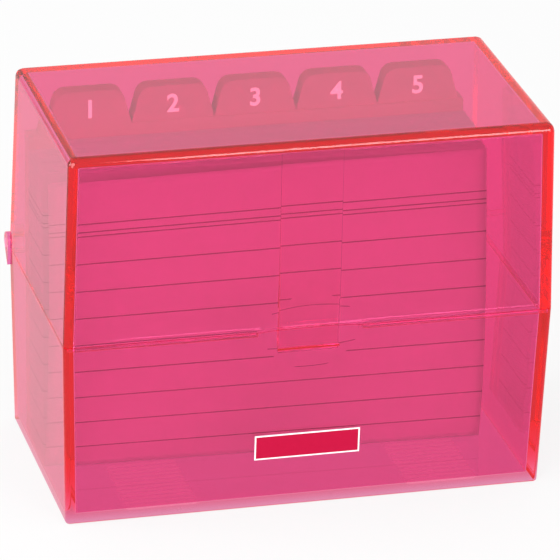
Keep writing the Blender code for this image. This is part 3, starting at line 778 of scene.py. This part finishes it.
def front_card_point(across, up):
    """A point of the front card; across runs from its right edge, up from its foot, both 0 to 1."""
    left, right = card_front(0)
    foot = right + (left - right) * across - FRONT_CARD_GAP - FRONT_CARD_THICKNESS
    lean = FRONT_LEAN_RIGHT + (FRONT_LEAN_LEFT - FRONT_LEAN_RIGHT) * across
    bulge = 4 * up * (1 - up)
    bow = bulge * (FRONT_BOW + FRONT_BOW_LOW * (1 - 2 * up))
    height = CARD_HEIGHT * up
    heading = math.atan2(right - left, CARD_WIDTH)
    x = SHEET_LEFT + CARD_WIDTH - CARD_WIDTH * math.cos(heading) * across
    return Vector((x, foot + height * math.sin(lean) - bow, SHEET_FOOT + height * math.cos(lean)))


def make_front_card(paper):
    """The bowed and twisted front card as one smooth sheet."""
    bm = bmesh.new()
    bmesh.ops.create_grid(bm, x_segments=FRONT_COLUMNS, y_segments=FRONT_ROWS, size=0.5)
    points = []
    for vert in bm.verts:
        across = 0.5 - vert.co.x
        up = 0.5 + vert.co.y
        points.append((CARD_WIDTH * (1 - across), CARD_HEIGHT * up))
        vert.co = front_card_point(across, up)
    card = add_mesh("front_card_sheet", bm)
    write_sheet_map(card.data, points)
    facing = card.data.polygons[0].normal.y
    sheet = card.modifiers.new("sheet", "SOLIDIFY")
    sheet.thickness = FRONT_CARD_THICKNESS
    sheet.offset = 1 if facing > 0 else -1
    dress(card, "front_card", "card_paper", paper, replaces=["front_card"])


def dress_divider(number, board, ink):
    """The plain number on a divider's tab, and the board on the divider's own solid."""
    place = (number - 1) % TABS_PER_ROW
    row = (number - 1) // TABS_PER_ROW + 1
    middle = TAB_MARGIN + (place + 0.5) * TAB_PITCH
    foot = REGISTER_FRONT + (number - 1) * DIVIDER_PITCH
    placement = sheet_placement(foot, foot)
    curve = bpy.data.curves.new(f"numeral_{number:02d}", "FONT")
    curve.body = str(number)
    curve.size = NUMERAL_HEIGHT / FONT_DIGIT_SHARE
    curve.offset = NUMERAL_BOLD
    curve.align_x = "CENTER"
    curve.align_y = "BOTTOM_BASELINE"
    text = bpy.data.objects.new("numeral_text", curve)
    PIECE_COLLECTION.objects.link(text)
    bpy.context.view_layer.update()
    mesh = bpy.data.meshes.new_from_object(text.evaluated_get(bpy.context.evaluated_depsgraph_get()))
    bpy.data.objects.remove(text)
    upright = Matrix.Rotation(math.pi / 2, 4, "X")
    lower = DIVIDER_HEIGHT + (TAB_HEIGHT - NUMERAL_HEIGHT) / 2
    mesh.transform(placement @ Matrix.Translation((middle, -NUMERAL_LIFT, lower)) @ upright)
    mesh.materials.clear()
    numeral = bpy.data.objects.new(f"numeral_{number:02d}", mesh)
    PIECE_COLLECTION.objects.link(numeral)
    dress(numeral, f"divider_row_{row}", "divider_board", ink)
    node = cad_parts[f"divider_{number:02d}"]
    node.data.materials.clear()
    node.data.materials.append(board)


def show_light(tree, shaded, kind, seen, share, colour):
    """Mixes plain light into what the camera, clear walls or mirroring surfaces see."""
    path = tree.nodes.new("ShaderNodeLightPath")
    amount = tree.nodes.new("ShaderNodeMath")
    amount.operation = "MULTIPLY"
    amount.inputs[1].default_value = share
    if seen == "mirrored":
        straight = tree.nodes.new("ShaderNodeMath")
        straight.operation = "SUBTRACT"
        straight.use_clamp = True
        tree.links.new(path.outputs["Is Glossy Ray"], straight.inputs[0])
        tree.links.new(path.outputs["Is Transmission Ray"], straight.inputs[1])
        tree.links.new(straight.outputs[0], amount.inputs[0])
    else:
        tree.links.new(path.outputs[seen], amount.inputs[0])
    light = tree.nodes.new(kind)
    light.inputs["Color"].default_value = colour
    light.inputs["Strength"].default_value = 1.0
    mix = tree.nodes.new("ShaderNodeMixShader")
    tree.links.new(amount.outputs[0], mix.inputs[0])
    tree.links.new(shaded, mix.inputs[1])
    tree.links.new(light.outputs[0], mix.inputs[2])
    return mix.outputs[0]


def make_stage():
    """A plain pale floor and an even white sky."""
    bm = bmesh.new()
    bmesh.ops.create_circle(bm, cap_ends=True, segments=FLOOR_SIDES, radius=FLOOR_RADIUS)
    floor = add_mesh("floor", bm, False)
    n = Nodes("floor")
    n.shader.inputs["Roughness"].default_value = FLOOR_ROUGHNESS
    n.shader.inputs["Specular IOR Level"].default_value = 0.0
    mottle = n.noise(n.place(), *FLOOR_MOTTLE)
    n.link(n.mix(mottle, grey(FLOOR_GREY[0]), grey(FLOOR_GREY[1])), n.shader.inputs["Base Color"])
    shaded = n.shader.outputs[0]
    views = (
        ("mirrored", MIRRORED_FLOOR), ("Is Transmission Ray", CLEAR_FLOOR), ("Is Camera Ray", CAMERA_FLOOR))
    for seen, (share, colour) in views:
        shaded = show_light(n.tree, shaded, "ShaderNodeEmission", seen, share, colour)
    n.link(shaded, n.output.inputs["Surface"])
    floor.data.materials.append(n.material)

    world = bpy.data.worlds.new("studio")
    bpy.context.scene.world = world
    world.use_nodes = True
    tree = world.node_tree
    sky = tree.nodes["Background"]
    sky.inputs["Color"].default_value = grey(1.0)
    sky.inputs["Strength"].default_value = SKY_LEVEL
    shaded = show_light(tree, sky.outputs[0], "ShaderNodeBackground", "mirrored", *MIRRORED_SKY)
    tree.links.new(shaded, tree.nodes["World Output"].inputs["Surface"])


def add_area(name, place, target, size, power):
    light = bpy.data.lights.new(name, "AREA")
    light.shape = "RECTANGLE"
    light.size, light.size_y = size
    light.energy = power
    lamp = bpy.data.objects.new(name, light)
    PIECE_COLLECTION.objects.link(lamp)
    lamp.location = place
    lamp.rotation_euler = (Vector(target) - Vector(place)).to_track_quat("-Z", "Y").to_euler()


def make_camera():
    lens = bpy.data.cameras.new("camera")
    lens.lens = CAMERA_LENS
    lens.sensor_width = CAMERA_SENSOR
    lens.clip_start = CAMERA_NEAR
    lens.clip_end = CAMERA_FAR
    camera = bpy.data.objects.new("camera", lens)
    PIECE_COLLECTION.objects.link(camera)
    turn = (
        Matrix.Rotation(CAMERA_AZIMUTH, 4, "Z")
        @ Matrix.Rotation(math.pi / 2 - CAMERA_ELEVATION, 4, "X")
        @ Matrix.Rotation(CAMERA_ROLL, 4, "Z"))
    camera.matrix_world = Matrix.Translation(CAMERA_PLACE) @ turn
    bpy.context.scene.camera = camera


plastic = make_plastic("tinted_plastic")
paper = make_card_paper()
board = make_board()
ink = make_ink()

make_tray(plastic)
make_lid(make_plastic("lid_plastic", True))
make_front_card(paper)
dice = random.Random(DICE_SEED)
for group in range(1, CARD_GROUPS + 1):
    make_card_group(group, paper, dice)
for number in range(1, DIVIDER_ROWS * TABS_PER_ROW + 1):
    dress_divider(number, board, ink)
for name, material in (("support_plate", plastic), ("front_label", make_label_film())):
    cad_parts[name].data.materials.clear()
    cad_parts[name].data.materials.append(material)

make_stage()
add_area("front_box", LAMP_PLACE, LAMP_AIM, LAMP_SIZE, LAMP_POWER)
add_area("side_box", SIDE_PLACE, SIDE_AIM, SIDE_SIZE, SIDE_POWER)
add_area("edge_box", EDGE_PLACE, EDGE_AIM, EDGE_SIZE, EDGE_POWER)
make_camera()

cycles = bpy.context.scene.cycles
cycles.max_bounces = BOUNCES
cycles.transmission_bounces = BOUNCES
cycles.glossy_bounces = BOUNCES
cycles.diffuse_bounces = DIFFUSE_BOUNCES
bpy.context.scene.view_settings.view_transform = "Standard"
